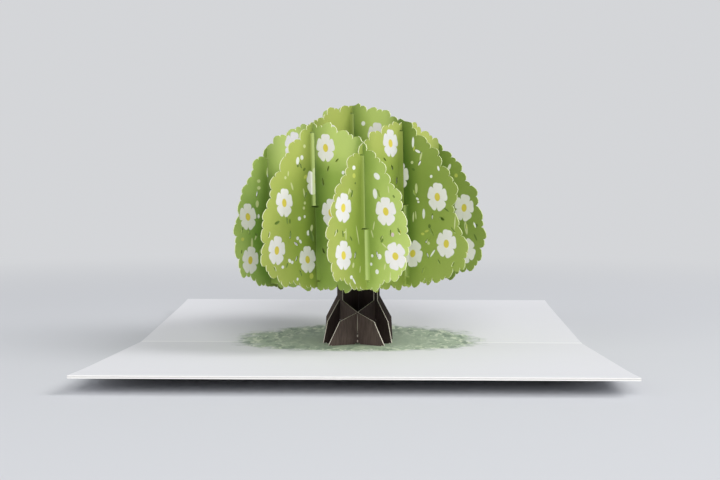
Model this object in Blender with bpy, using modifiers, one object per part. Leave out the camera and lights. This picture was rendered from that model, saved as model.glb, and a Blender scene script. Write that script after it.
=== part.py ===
"""A pop up card, opened nearly flat, with a paper tree that stands on its fold.

The card is a folded cover with a folded liner glued inside it. The tree is a slotted sheet lattice: four
brown trunk sheets whose tabs pass through slits in the liner, and a crown of three by three green sheets
with scalloped outlines and small leaf-shaped cuts. Every crossing is a halving joint, so nothing but slots
holds the tree together. The crown's slots are slits with a short cross cut at the foot, and the two narrow
flaps between them are bent aside by the sheet that passes through.

Metres, +Z up, +X along the card's fold, +Y towards the rear leaf, origin under the middle of the fold.
"""

import math

import bmesh
import bpy
from mathutils import Matrix, Vector
from mathutils.geometry import intersect_line_line

mm = 0.001

# Card
card_width = 178 * mm
leaf_depth = 127 * mm
cover_thickness = 0.35 * mm
liner_thickness = 0.35 * mm
glue_gap = 0.3 * mm
fold_flat = 5 * mm
leaf_rise = math.radians(2.25)
curl_length = 30 * mm
curl_height = 0.4 * mm

# Paper of the tree, and the play of its slots
paper_thickness = 0.35 * mm
crown_slot_play = 0.45 * mm
trunk_slot_play = 0.32 * mm
slot_end_gap = 0.3 * mm
cut_overrun = 4 * mm
slab_reach = 5 * mm

# Crown: two families of sheets that cross at a rhombus
crown_centre_x = -2.5 * mm
crown_centre_y = 0
crown_half_angle = math.radians(51)
crown_yaw = math.radians(6.1)
crown_tilt = math.radians(1.2)
crown_tilt_height = 55 * mm
crown_spacing = 27.5 * mm
crown_bottom = 24.3 * mm
outer_tail = 23.8 * mm
outer_wide_height = 43 * mm
outer_top = 87 * mm
middle_tail = 33.3 * mm
middle_wide_height = 42 * mm
middle_top = 94.8 * mm
dome_roundness = 1.87
hem_roundness = 3.0
ring_steps = 720

# Sheets whose outline differs from their pair's: the left end and the right end beyond the last slot, and
# the drop from the widest height to the hem, as shares of the common outline's
outline_shares = {
    ("a", -1): (0.86, 0.93, 1.0), ("a", 0): (1.0, 0.97, 1.0), ("a", 1): (1.0, 0.96, 1.0),
    ("b", -1): (0.9, 1.0, 1.08),
}

# A bay in the right end of one sheet: its height and its half height as shares of the sheet's height, and
# its depth as a share of the end beyond the last slot
right_bays = {("a", 0): (0.38, 0.115, 0.15)}

# Height of each kind of crossing, as a share of the outer or the middle sheet's height
outer_crossing_share = 0.37
mixed_crossing_share = 0.5
middle_crossing_share = 0.52

# Scallops of the crown's outline: lobes of uneven width, height and depth of the notch before them
side_lobe_pitch = 4.8 * mm
hem_lobe_pitch = 4.3 * mm
lobe_height = 1.8 * mm
notch_depth = 1.2 * mm
lobe_width_shares = (1.05, 0.6, 1.2, 0.8, 1.05, 0.55, 1.35, 0.7, 1.15, 0.62, 0.93)
lobe_height_shares = (1.05, 0.62, 1.1, 0.8, 1.2, 0.6, 0.95, 0.75, 1.25, 0.7, 0.9)
notch_shares = (1.1, 0.3, 0.6, 1.6, 0.2, 0.9, 0.4, 1.4, 0.2, 0.8, 1.6)
lobe_step_shares = (0.0, 0.08, 0.36, 0.64, 0.92)
lobe_lean_share = 0.4
lobe_mean_share = 0.25
lobe_fade = 1.8 * mm

# Leaf-shaped cuts through the crown's sheets. Each row is a place as shares of the sheet's half length and
# of its height, a turn in degrees and a size; the other half of the sheet mirrors it
leaf_cut_length = 2.7 * mm
leaf_cut_width = 1.05 * mm
leaf_point_shares = ((-1, 0), (-0.4, -0.84), (0.4, -0.84), (1, 0), (0.4, 0.84), (-0.4, 0.84))
outer_cut_shares = (
    (0.91, 0.36, -60, 1.1), (0.72, 0.32, 50, 0.9), (0.82, 0.35, 80, 1.0), (0.67, 0.22, -70, 1.2),
    (0.70, 0.58, -65, 1.2), (0.26, 0.78, 30, 0.9), (0.16, 0.73, 60, 1.0), (0.10, 0.65, -80, 1.3),
    (0.21, 0.36, 15, 0.9), (0.09, 0.23, -60, 1.1),
)
middle_cut_shares = (
    (0.55, 0.51, -60, 1.2), (0.75, 0.38, 80, 1.1), (0.72, 0.30, -80, 1.3), (0.85, 0.37, -15, 1.3),
    (0.93, 0.31, -70, 1.0), (0.88, 0.13, 55, 1.0), (0.76, 0.14, -50, 0.9), (0.66, 0.25, 25, 1.2),
    (0.66, 0.17, -60, 1.0), (0.62, 0.09, 60, 1.1), (0.60, 0.67, 50, 1.1), (0.33, 0.80, -40, 1.0),
    (0.12, 0.70, -60, 1.2),
)
branch_cut_shares = (0.50, 0.29, -60, 2.2)

# Flaps beside the crown's slots, bent by shares of one turn. Rows run from front to rear in the a sheets
# and from rear to front in the b sheets; each pair is the share of the b sheet, then of the a sheet
flap_hinge = 2.4 * mm
flap_turn = math.radians(45)
flap_band = 0.5 * mm
slot_bar_height = 0.5 * mm
flap_root_share = 0.35
flap_turn_shares = {
    (-1, -1): (0.2, 0.2), (-1, 0): (1.0, 0.2), (-1, 1): (0.4, 0.8),
    (0, -1): (0.3, 0.3), (0, 0): (0.4, 0.3), (0, 1): (0.2, 0.5),
    (1, -1): (0.3, 0.3), (1, 0): (0.3, 0.3), (1, 1): (0.3, 0.3),
}

# Trunk: two by two sheets with root tails
trunk_centre_x = -1.1 * mm
trunk_centre_y = 0
trunk_half_angle = math.radians(44.5)
trunk_yaw = math.radians(-1)
trunk_spacing = 10 * mm
trunk_joint_height = 5 * mm
trunk_side_joint_height = 9 * mm
valley_height = 12.8 * mm
shoulder_height = 9.8 * mm
flank_height = 17 * mm
long_root = 15.3 * mm
long_shoulder = 9.5 * mm
short_root = 9.2 * mm
front_short_shoulder = 8.5 * mm
rear_short_shoulder = 7 * mm
column_edge = 1.2 * mm
column_outside = 1.9 * mm
column_step = 0.9 * mm
slotted_column_inset = 0.55 * mm
column_hook = 10 * mm
hook_joint = 6 * mm
foot_gap = 0.3 * mm

# Tabs of the trunk and their slits in the liner
tab_inset = 1.6 * mm
tab_depth = 0.5 * mm
slit_play = 0.3 * mm

fold_top = cover_thickness + glue_gap + liner_thickness
weld_distance = 0.00001

colours = {
    "card_white": (0.86, 0.86, 0.88, 1.0),
    "leaf_green": (0.36, 0.46, 0.09, 1.0),
    "bark_brown": (0.055, 0.040, 0.034, 1.0),
}


def clear_scene():
    for thing in list(bpy.data.objects):
        bpy.data.objects.remove(thing, do_unlink=True)


def new_collection(name):
    collection = bpy.data.collections.new(name)
    bpy.context.scene.collection.children.link(collection)
    return collection


def paper_material(name):
    material = bpy.data.materials.new(name)
    material.use_nodes = True
    shader = material.node_tree.nodes["Principled BSDF"]
    shader.inputs["Base Color"].default_value = colours[name]
    shader.inputs["Roughness"].default_value = 0.75
    shader.inputs["Metallic"].default_value = 0.0
    material.diffuse_color = colours[name]
    return material


def leaf_height(distance):
    """Height of the opened leaf above the fold, at a distance from the fold line."""
    slope_part = max(0, distance - fold_flat / 2) * math.tan(leaf_rise)
    curl_part = max(0, distance - (leaf_depth - curl_length)) / curl_length
    return slope_part + curl_height * curl_part ** 2


def folded_sheet(name, underside, thickness, material, collection):
    """One folded sheet: the leaf's profile swept along the fold, then given its thickness."""
    half = [0, fold_flat / 2, leaf_depth - curl_length, leaf_depth - curl_length / 2, leaf_depth]
    across = [-y for y in reversed(half[1:])] + half
    bm = bmesh.new()
    line = [bm.verts.new((-card_width / 2, y, underside + leaf_height(abs(y)))) for y in across]
    edges = [bm.edges.new(pair) for pair in zip(line, line[1:])]
    swept = bmesh.ops.extrude_edge_only(bm, edges=edges)
    moved = [item for item in swept["geom"] if isinstance(item, bmesh.types.BMVert)]
    bmesh.ops.translate(bm, verts=moved, vec=(card_width, 0, 0))
    bm.normal_update()
    bmesh.ops.reverse_faces(bm, faces=[face for face in bm.faces if face.normal.z < 0])
    mesh = bpy.data.meshes.new(name)
    bm.to_mesh(mesh)
    bm.free()
    mesh.materials.append(material)
    sheet = bpy.data.objects.new(name, mesh)
    collection.objects.link(sheet)
    wall = sheet.modifiers.new("wall", "SOLIDIFY")
    wall.thickness = thickness
    wall.offset = 1
    wall.use_even_offset = True
    return sheet


def cut_paper(name, loops, matrix, material, collection):
    """A flat sheet of paper from closed outlines, in its own plane: x along the sheet, y upwards."""
    curve = bpy.data.curves.new(name, "CURVE")
    curve.dimensions = "2D"
    curve.fill_mode = "BOTH"
    curve.extrude = paper_thickness / 2
    for loop in loops:
        spline = curve.splines.new("POLY")
        spline.points.add(len(loop) - 1)
        for point, (along, height) in zip(spline.points, loop):
            point.co = (along, height, 0, 1)
        spline.use_cyclic_u = True
    outline = bpy.data.objects.new(name + "_outline", curve)
    collection.objects.link(outline)
    outline.matrix_world = matrix
    bpy.context.view_layer.update()
    graph = bpy.context.evaluated_depsgraph_get()
    mesh = bpy.data.meshes.new_from_object(outline.evaluated_get(graph))
    bm = bmesh.new()
    bm.from_mesh(mesh)
    bmesh.ops.remove_doubles(bm, verts=bm.verts, dist=weld_distance)
    bmesh.ops.recalc_face_normals(bm, faces=bm.faces)
    bm.to_mesh(mesh)
    bm.free()
    bpy.data.objects.remove(outline, do_unlink=True)
    mesh.name = name
    mesh.materials.clear()
    mesh.materials.append(material)
    sheet = bpy.data.objects.new(name, mesh)
    collection.objects.link(sheet)
    sheet.matrix_world = matrix
    return sheet


def box_cutter(name, frame, along, low, high, length, width, cutters):
    """A box in a sheet's own frame, which cuts what crosses that sheet."""
    bm = bmesh.new()
    bmesh.ops.create_cube(bm, size=1)
    bmesh.ops.scale(bm, verts=bm.verts, vec=(length, high - low, width))
    bmesh.ops.translate(bm, verts=bm.verts, vec=(along, (low + high) / 2, 0))
    mesh = bpy.data.meshes.new(name)
    bm.to_mesh(mesh)
    bm.free()
    cutter = bpy.data.objects.new(name, mesh)
    cutters.objects.link(cutter)
    cutter.matrix_world = frame
    cutter.hide_render = True
    cutter.display_type = "WIRE"
    return cutter


def subtract(target, cutter):
    cut = target.modifiers.new(cutter.name, "BOOLEAN")
    cut.operation = "DIFFERENCE"
    cut.solver = "EXACT"
    cut.object = cutter


def crossing(first, second, height):
    """Where two upright sheets cross at a height: the distance along each from its middle."""
    lines = []
    for sheet in (first, second):
        for along in (-leaf_depth, leaf_depth):
            lines.append(sheet.matrix_world @ Vector((along, height, 0)))
    on_first, on_second = intersect_line_line(*lines)
    return ((first.matrix_world.inverted() @ on_first).x,
            (second.matrix_world.inverted() @ on_second).x)


def halve(lower_cut, upper_cut, height, top, bottom, play, cutters):
    """A halving joint: one sheet is slotted from below, the other from above, up to the same height."""
    along_lower, along_upper = crossing(lower_cut, upper_cut, height)
    width = paper_thickness + 2 * play
    label = lower_cut.name + "_" + upper_cut.name
    from_below = box_cutter(label + "_below", upper_cut.matrix_world, along_upper,
                            bottom - cut_overrun, height + slot_end_gap / 2, 2 * slab_reach, width, cutters)
    from_above = box_cutter(label + "_above", lower_cut.matrix_world, along_lower,
                            height - slot_end_gap / 2, top + cut_overrun, 2 * slab_reach, width, cutters)
    subtract(lower_cut, from_below)
    subtract(upper_cut, from_above)


def upright(centre_x, centre_y, heading, tilt):
    """Frame of an upright sheet: x along its heading, y up from the top of the card's fold."""
    place = Matrix.Translation((centre_x, centre_y, fold_top))
    return tilt @ place @ Matrix.Rotation(heading, 4, "Z") @ Matrix.Rotation(math.pi / 2, 4, "X")


def lattice_place(centre_x, centre_y, heading_across, distance):
    return (centre_x + distance * math.cos(heading_across), centre_y + distance * math.sin(heading_across))


def signed_power(value, power):
    return math.copysign(abs(value) ** power, value)


def crown_shape(row):
    """Half length, widest height and top of a crown sheet: the middle row is the larger one."""
    if row:
        return crown_spacing + outer_tail, outer_wide_height, outer_top
    return crown_spacing + middle_tail, middle_wide_height, middle_top


def dome_ring(half_length, wide_height, top):
    """The smooth outline under the scallops: a round dome above the widest height, a squarer hem below."""
    ring = []
    for step in range(ring_steps):
        turn = 2 * math.pi * step / ring_steps - math.pi / 2
        upper = math.sin(turn) > 0
        roundness = dome_roundness if upper else hem_roundness
        rise = top - wide_height if upper else wide_height - crown_bottom
        ring.append(Vector((half_length * signed_power(math.cos(turn), 2 / roundness),
                            wide_height + rise * signed_power(math.sin(turn), 2 / roundness))))
    return ring


def ring_height(shape, along, upper):
    """Height of the smooth outline at a distance along the sheet, on the dome or on the hem."""
    half_length, wide_height, top = shape
    roundness = dome_roundness if upper else hem_roundness
    rise = top - wide_height if upper else crown_bottom - wide_height
    return wide_height + rise * (1 - abs(along / half_length) ** roundness) ** (1 / roundness)


def distances_round(ring):
    marks = [0]
    for here, there in zip(ring, ring[1:] + ring[:1]):
        marks.append(marks[-1] + (there - here).length)
    return marks


def point_round(ring, marks, distance):
    """Point and outward direction at a distance along the ring, which runs anticlockwise."""
    distance = distance % marks[-1]
    low, high = 0, len(ring)
    while high - low > 1:
        middle = (low + high) // 2
        low, high = (middle, high) if marks[middle] <= distance else (low, middle)
    here, there = ring[low], ring[(low + 1) % len(ring)]
    along = (there - here).normalized()
    return here + along * (distance - marks[low]), Vector((along.y, -along.x))


def lobe_notches(ring, marks, wide_height):
    """Distances of the notches round the ring, fitted to a whole number of lobes."""
    notches = [0]
    while notches[-1] < marks[-1]:
        point, outward = point_round(ring, marks, notches[-1])
        on_hem = outward.y < -abs(outward.x) and point.y < wide_height
        pitch = hem_lobe_pitch if on_hem else side_lobe_pitch
        notches.append(notches[-1] + pitch * lobe_width_shares[(len(notches) - 1) % len(lobe_width_shares)])
    return [notch * marks[-1] / notches[-1] for notch in notches]


def beside_slot(along):
    """From 0 at the edge of a crown slot to 1 where the scallops have their full height."""
    slot_edge = paper_thickness / 2 + 2 * crown_slot_play
    nearest = min(abs(along - row * crown_spacing) for row in (-1, 0, 1))
    return min(1, max(0, (nearest - slot_edge) / lobe_fade))


def scalloped(ring, wide_height):
    """Rounded lobes along the ring that droop towards the hem, with a sharp notch between each two."""
    marks = distances_round(ring)
    notches = lobe_notches(ring, marks, wide_height)
    count = len(notches) - 1
    mean = lobe_mean_share * lobe_height
    loop = []
    for index, (start, end) in enumerate(zip(notches, notches[1:])):
        height = lobe_height * lobe_height_shares[index % len(lobe_height_shares)]
        before = notch_depth * notch_shares[index % len(notch_shares)]
        after = notch_depth * notch_shares[(index + 1) % count % len(notch_shares)]
        for share in lobe_step_shares:
            under = point_round(ring, marks, start + share * (end - start))[0]
            fade = beside_slot(under.x)
            droop = math.copysign(lobe_lean_share * height * fade * math.sin(math.pi * share), under.x)
            point, outward = point_round(ring, marks, start + share * (end - start) - droop)
            bulge = height * math.sqrt(1 - (2 * share - 1) ** 2)
            loop.append(point + outward * (mean + fade * (bulge - before - share * (after - before) - mean)))
    return loop


def leaf_cut(shape, x_share, y_share, degrees, size):
    """A small leaf outline, pointed at both ends, at a place given in shares of its sheet."""
    half_length, _, top = shape
    centre = Vector((x_share * half_length, crown_bottom + y_share * (top - crown_bottom)))
    turn = Matrix.Rotation(math.radians(degrees), 2)
    half = Vector((leaf_cut_length, leaf_cut_width)) * size / 2
    return [centre + turn @ Vector((half.x * x, half.y * y)) for x, y in leaf_point_shares]


def leaf_cuts(family, row):
    """Outlines of all the leaf cuts of one crown sheet, the same on both halves."""
    shape = crown_shape(row)
    cuts = []
    for x_share, y_share, degrees, size in outer_cut_shares if row else middle_cut_shares:
        cuts.append(leaf_cut(shape, x_share, y_share, degrees, size))
        cuts.append(leaf_cut(shape, -x_share, y_share, 180 - degrees, size))
    if family == "b" and not row:
        x_share, y_share, degrees, size = branch_cut_shares
        cuts.append(leaf_cut(shape, -x_share, y_share, degrees, size))
    return cuts


def fitted(loop, wide_height, left_share, right_share, hem_share):
    """The same outline with its ends drawn in towards the last slots, and its hem let down."""
    points = []
    for along, height in loop:
        past_left, past_right = min(0, along + crown_spacing), max(0, along - crown_spacing)
        drop = max(0, wide_height - height)
        points.append((along + (left_share - 1) * past_left + (right_share - 1) * past_right,
                       height - (hem_share - 1) * drop))
    return points


def with_bay(loop, top, height_share, half_share, depth_share):
    """The same outline with a round bay in its right end, beyond the last slot."""
    rise = top - crown_bottom
    points = []
    for along, height in loop:
        reach = ((height - crown_bottom) / rise - height_share) / half_share
        past_right = max(0, along - crown_spacing)
        points.append((along - depth_share * past_right * max(0, 1 - reach ** 2), height))
    return points


def crown_sheets(collection, cutters):
    """Two families of three scalloped sheets, a and b, joined at nine crossings."""
    material = paper_material("leaf_green")
    headings = {"a": crown_yaw - crown_half_angle, "b": crown_yaw + crown_half_angle}
    across = {"a": headings["b"], "b": headings["a"]}
    order = {"a": ("front", "middle", "rear"), "b": ("rear", "middle", "front")}
    pivot = Matrix.Translation((crown_centre_x, 0, fold_top + crown_tilt_height))
    tilt = pivot @ Matrix.Rotation(-crown_tilt, 4, "Y") @ pivot.inverted()
    outlines = {row: scalloped(dome_ring(*crown_shape(row)), crown_shape(row)[1]) for row in (0, 1)}
    sheets = {}
    for family in ("a", "b"):
        for row, place in zip((-1, 0, 1), order[family]):
            x, y = lattice_place(crown_centre_x, crown_centre_y, across[family], row * crown_spacing)
            frame = upright(x, y, headings[family], tilt)
            loops = [outlines[abs(row)]] + leaf_cuts(family, row)
            if (family, row) in outline_shares:
                loops = [fitted(loop, crown_shape(row)[1], *outline_shares[family, row]) for loop in loops]
            if (family, row) in right_bays:
                loops = [with_bay(loop, crown_shape(row)[2], *right_bays[family, row]) for loop in loops]
            name = "crown_" + family + "_" + place
            sheets[family, row] = cut_paper(name, loops, frame, material, collection)
    for row_a in (-1, 0, 1):
        for row_b in (-1, 0, 1):
            join_crown(sheets["a", row_a], sheets["b", row_b], row_a, row_b, cutters)
    return sheets


def join_crown(sheet_a, sheet_b, row_a, row_b, cutters):
    """One crossing of the crown: the a sheet is slotted from below, the b sheet from above."""
    outer_count = bool(row_a) + bool(row_b)
    top = middle_top if outer_count == 0 else outer_top
    share = (middle_crossing_share, mixed_crossing_share, outer_crossing_share)[outer_count]
    height = crown_bottom + share * (top - crown_bottom)
    halve(sheet_a, sheet_b, height, middle_top, crown_bottom, crown_slot_play, cutters)
    along_a, along_b = crossing(sheet_a, sheet_b, height)
    share_b, share_a = flap_turn_shares[row_a, row_b]
    inset = notch_depth * max(notch_shares) + flap_band
    hem = ring_height(crown_shape(row_a), abs(along_a) + flap_hinge, False) + inset
    crest = ring_height(crown_shape(row_b), abs(along_b) + flap_hinge, True) - inset
    slot_flaps(sheet_a, sheet_b.name, along_a, hem, height + slot_end_gap / 2, share_a * flap_turn, cutters)
    slot_flaps(sheet_b, sheet_a.name, along_b, height - slot_end_gap / 2, crest, -share_b * flap_turn,
               cutters)


def slot_flaps(sheet, other, along, low, high, turn, cutters):
    """A window round a slot, between two upright hinges, with a bent flap on each of them."""
    label = sheet.name + "_" + other
    subtract(sheet, box_cutter(label + "_window", sheet.matrix_world, along, low, high, 2 * flap_hinge,
                               2 * slab_reach, cutters))
    root = flap_root_share * paper_thickness
    length = flap_hinge - crown_slot_play - paper_thickness / 2 + root
    for side in (-1, 1):
        hinge = sheet.matrix_world @ Matrix.Translation((along - side * flap_hinge, 0, 0))
        flap = box_cutter(label + "_flap_" + ("left" if side > 0 else "right"),
                          hinge @ Matrix.Rotation(turn, 4, "Y"), side * (length / 2 - root),
                          low + slot_bar_height, high - slot_bar_height, length, paper_thickness, cutters)
        join = sheet.modifiers.new(flap.name, "BOOLEAN")
        join.operation = "UNION"
        join.solver = "EXACT"
        join.object = flap


def foot_line(frame, start, end):
    """Lower edge of a trunk sheet, just above the opened leaves, from one tail to the other."""
    points = []
    for along in (start, end):
        points.append((along, leaf_height(abs((frame @ Vector((along, 0, 0))).y)) + foot_gap))
    first, last = frame @ Vector((start, 0, 0)), frame @ Vector((end, 0, 0))
    at_fold = start + (end - start) * first.y / (first.y - last.y)
    points.insert(1, (at_fold, leaf_height(0) + foot_gap))
    return points


def front_trunk_loop(foot):
    """Front sheet: long tail at the front crossing, low saddle, narrow column at the side crossing."""
    half = trunk_spacing / 2
    column_top = crown_bottom + column_hook
    return foot + [
        (half + long_shoulder, shoulder_height),
        (half, valley_height),
        (column_edge - half, flank_height),
        (column_edge - half, column_top),
        (-column_outside - half, column_top),
        (-column_outside - half, flank_height + column_outside),
        (-front_short_shoulder - half, shoulder_height),
    ]


def rear_trunk_loop(foot, column_half):
    """Rear sheet: long tail behind, short tail at the side, and a broad column at its middle."""
    half = trunk_spacing / 2
    column_top = crown_bottom + column_hook
    return foot + [
        (half + long_shoulder, shoulder_height),
        (half + column_step, flank_height),
        (column_half, flank_height + column_step),
        (column_half, column_top),
        (-column_half, column_top),
        (-column_half, flank_height + column_step),
        (-column_step - half, flank_height),
        (-rear_short_shoulder - half, shoulder_height - column_step),
    ]


def whole_column_loop(foot):
    """Rear sheet whose column passes through the slots of both its neighbours."""
    return rear_trunk_loop(foot, trunk_spacing / 2 + column_step)


def slotted_column_loop(foot):
    """Rear sheet whose column ends beside its own two slots."""
    return rear_trunk_loop(foot, trunk_spacing / 2 - slotted_column_inset)


def trunk_sheet(name, heading, place, mirrored, loop_of, material, collection):
    """A trunk sheet with a tab under each tail; a mirrored sheet has its long tail at the other end."""
    frame = upright(*place, heading, Matrix.Identity(4))
    side = -1 if mirrored else 1
    half = trunk_spacing / 2
    ends = (-half - short_root, half + long_root)
    foot = foot_line(frame @ Matrix.Diagonal((side, 1, 1, 1)), *ends)
    tabs = [(ends[0] + tab_inset, -half - tab_inset), (half + tab_inset, ends[1] - tab_inset)]
    edge = [foot[0]]
    for (left, right), beside in zip(tabs, (foot[0], foot[2])):
        slope = (foot[1][1] - beside[1]) / (foot[1][0] - beside[0])
        heights = [beside[1] + slope * (along - beside[0]) for along in (left, right)]
        drop = foot_gap + tab_depth
        edge += [(left, heights[0]), (left, heights[0] - drop), (right, heights[1] - drop),
                 (right, heights[1])]
        if beside is foot[0]:
            edge.append(foot[1])
    edge.append(foot[2])
    loop = [(side * along, height) for along, height in loop_of(edge)]
    sheet = cut_paper(name, [loop], frame, material, collection)
    return sheet, [(side * (left + right) / 2, right - left) for left, right in tabs]


def trunk_sheets(collection, cutters):
    """Four root sheets, named by the side of the trunk that they close."""
    material = paper_material("bark_brown")
    heading_a, heading_b = trunk_yaw - trunk_half_angle, trunk_yaw + trunk_half_angle
    half = trunk_spacing / 2
    front_left = lattice_place(trunk_centre_x, trunk_centre_y, heading_b, -half)
    rear_right = lattice_place(trunk_centre_x, trunk_centre_y, heading_b, half)
    front_right = lattice_place(trunk_centre_x, trunk_centre_y, heading_a, half)
    rear_left = lattice_place(trunk_centre_x, trunk_centre_y, heading_a, -half)
    plan = {
        "trunk_front_left": (heading_a, front_left, False, front_trunk_loop),
        "trunk_front_right": (heading_b, front_right, True, front_trunk_loop),
        "trunk_rear_right": (heading_a, rear_right, True, whole_column_loop),
        "trunk_rear_left": (heading_b, rear_left, False, slotted_column_loop),
    }
    sheets, tabs = {}, {}
    for name, (heading, place, mirrored, loop_of) in plan.items():
        sheets[name], tabs[name] = trunk_sheet(name, heading, place, mirrored, loop_of, material, collection)
    joints = (("trunk_front_left", "trunk_front_right", trunk_joint_height),
              ("trunk_front_left", "trunk_rear_left", trunk_side_joint_height),
              ("trunk_rear_right", "trunk_front_right", trunk_side_joint_height),
              ("trunk_rear_right", "trunk_rear_left", trunk_joint_height))
    for lower_cut, upper_cut, height in joints:
        halve(sheets[lower_cut], sheets[upper_cut], height, crown_bottom + column_hook, 0,
              trunk_slot_play, cutters)
    return sheets, tabs


def slit_liner(liner, sheets, tabs, cutters):
    """A slit in the liner round each tab of the trunk."""
    for name, places in tabs.items():
        for number, (middle, width) in enumerate(places):
            slit = box_cutter(name + "_slit_" + str(number), sheets[name].matrix_world, middle,
                              -fold_top, fold_top + cut_overrun, width + 2 * slit_play,
                              paper_thickness + 2 * slit_play, cutters)
            subtract(liner, slit)


def hook_crown(crown, trunk, cutters):
    """The two middle crown sheets sit on the broad columns of the rear trunk sheets."""
    height = crown_bottom + hook_joint
    for sheet, column in ((crown["a", 0], trunk["trunk_rear_left"]),
                          (crown["b", 0], trunk["trunk_rear_right"])):
        halve(sheet, column, height, crown_bottom + column_hook, crown_bottom, crown_slot_play, cutters)


def build():
    clear_scene()
    card = new_collection("pop_up_card")
    cutters = new_collection("cutters")
    white = paper_material("card_white")
    folded_sheet("card_cover", 0, cover_thickness, white, card)
    liner = folded_sheet("card_liner", cover_thickness + glue_gap, liner_thickness, white, card)
    trunk, tabs = trunk_sheets(card, cutters)
    crown = crown_sheets(card, cutters)
    slit_liner(liner, trunk, tabs, cutters)
    hook_crown(crown, trunk, cutters)


build()
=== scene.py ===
# Looks of a pop up card: an opened white card with a slotted paper tree on its fold.
# The solids come from the frame. This script gives them their print, paper and light.

import math

import bpy
import numpy as np
from mathutils import Matrix, Vector


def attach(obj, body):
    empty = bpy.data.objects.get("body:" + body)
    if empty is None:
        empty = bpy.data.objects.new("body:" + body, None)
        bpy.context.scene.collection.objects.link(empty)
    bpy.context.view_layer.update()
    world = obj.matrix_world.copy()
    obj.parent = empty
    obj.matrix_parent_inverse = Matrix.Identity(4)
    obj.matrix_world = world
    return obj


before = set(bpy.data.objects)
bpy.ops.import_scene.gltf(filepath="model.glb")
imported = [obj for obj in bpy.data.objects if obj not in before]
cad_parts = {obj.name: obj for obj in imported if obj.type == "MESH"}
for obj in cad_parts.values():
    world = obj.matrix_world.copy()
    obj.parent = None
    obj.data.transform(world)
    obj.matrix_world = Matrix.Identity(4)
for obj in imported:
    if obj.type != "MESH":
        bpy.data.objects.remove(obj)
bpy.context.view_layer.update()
mm = 0.001
print("frame loaded:", len(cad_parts), "nodes")

# View of the photograph: focal length in pixels of the 720 x 480 picture, sensor in millimetres
view = {
    "focalPixels": 1342,
    "pictureWidth": 720,
    "sensorWidth": 36,
    "place": (10.3 * mm, -539.9 * mm, 69.3 * mm),
    "pitchDown": math.radians(2.86),
    "turnLeft": math.radians(1.14),
    "roll": math.radians(0.1),
}

backColour = (0.66, 0.67, 0.69, 1)
floorLook = {"size": 12, "roughness": 0.85, "specular": 0.2, "fadeFrom": 0.19, "fadeTo": 0.62}

# Lamps: place and size in metres, power in watts
lamps = {
    "rightSoftbox": {"place": (1.75, -0.37, 1.61), "size": 1.2, "power": 27.4},
    "frontSoftbox": {"place": (0.20, -2.10, 1.25), "size": 1.3, "power": 30.0},
    "leftSoftbox": {"place": (-1.70, -1.40, 1.00), "size": 1.2, "power": 6.9},
}
lampAim = (0, 0, 0.04)
skyStrength = 0.43
skyColour = (0.93, 0.95, 1.0, 1)

# Shape of the card, as the frame has it
card = {
    "width": 178 * mm,
    "leaf": 127 * mm,
    "foldFlat": 5 * mm,
    "rise": math.radians(2.25),
    "curlLength": 30 * mm,
    "curlHeight": 0.4 * mm,
    "coverThickness": 0.35 * mm,
    "gap": 0.3 * mm,
    "foldTop": 1.0 * mm,
}

# Places of the sheets, as the frame has them. The crown's outlines are in plain millimetres, for the print
crown = {
    "centre": (-2.5 * mm, 0),
    "halfAngle": math.radians(51),
    "yaw": math.radians(6.1),
    "tilt": math.radians(1.2),
    "tiltHeight": 55 * mm,
    "spacing": 27.5 * mm,
    "bottom": 24.3,
    "outer": {"half": 51.3, "wide": 43, "top": 87},
    "middle": {"half": 60.8, "wide": 42, "top": 94.8},
}
trunk = {
    "centre": (-1.1 * mm, 0),
    "halfAngle": math.radians(44.5),
    "yaw": math.radians(-1),
    "spacing": 10 * mm,
}


def feed(tree, socket, value):
    if isinstance(value, bpy.types.NodeSocket):
        tree.links.new(value, socket)
    else:
        socket.default_value = value


def maths(tree, operation, *values, clamp=False):
    node = tree.nodes.new("ShaderNodeMath")
    node.operation = operation
    node.use_clamp = clamp
    for socket, value in zip(node.inputs, values):
        feed(tree, socket, value)
    return node.outputs[0]


def blendColours(tree, mask, under, over, mode="MIX"):
    node = tree.nodes.new("ShaderNodeMix")
    node.data_type = "RGBA"
    node.blend_type = mode
    feed(tree, node.inputs["Factor"], mask)
    feed(tree, node.inputs[6], under)
    feed(tree, node.inputs[7], over)
    return node.outputs[2]


def ramp(tree, value, low, high, fromLow=0.0, fromHigh=1.0):
    # Smooth step of a value between two limits
    node = tree.nodes.new("ShaderNodeMapRange")
    node.interpolation_type = "SMOOTHSTEP"
    for name, given in (("Value", value), ("From Min", fromLow), ("From Max", fromHigh),
                        ("To Min", low), ("To Max", high)):
        feed(tree, node.inputs[name], given)
    return node.outputs[0]


def noise(tree, place, scale, detail=2.0, roughness=0.5):
    node = tree.nodes.new("ShaderNodeTexNoise")
    feed(tree, node.inputs["Vector"], place)
    node.inputs["Scale"].default_value = scale
    node.inputs["Detail"].default_value = detail
    node.inputs["Roughness"].default_value = roughness
    return node.outputs[0]


def split(tree, vector):
    node = tree.nodes.new("ShaderNodeSeparateXYZ")
    feed(tree, node.inputs[0], vector)
    return node.outputs


def join(tree, x, y, z=0.0):
    node = tree.nodes.new("ShaderNodeCombineXYZ")
    for socket, value in zip(node.inputs, (x, y, z)):
        feed(tree, socket, value)
    return node.outputs[0]


def newGroup(name, inputs, outputs):
    # A node group with named sockets: returns its tree, what it is given and what it gives out
    tree = bpy.data.node_groups.new(name, "ShaderNodeTree")
    kinds = {"f": "NodeSocketFloat", "v": "NodeSocketVector", "c": "NodeSocketColor"}
    for socketName, kind in inputs:
        tree.interface.new_socket(name=socketName, in_out="INPUT", socket_type=kinds[kind])
    for socketName, kind in outputs:
        tree.interface.new_socket(name=socketName, in_out="OUTPUT", socket_type=kinds[kind])
    return tree, tree.nodes.new("NodeGroupInput").outputs, tree.nodes.new("NodeGroupOutput").inputs


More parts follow.
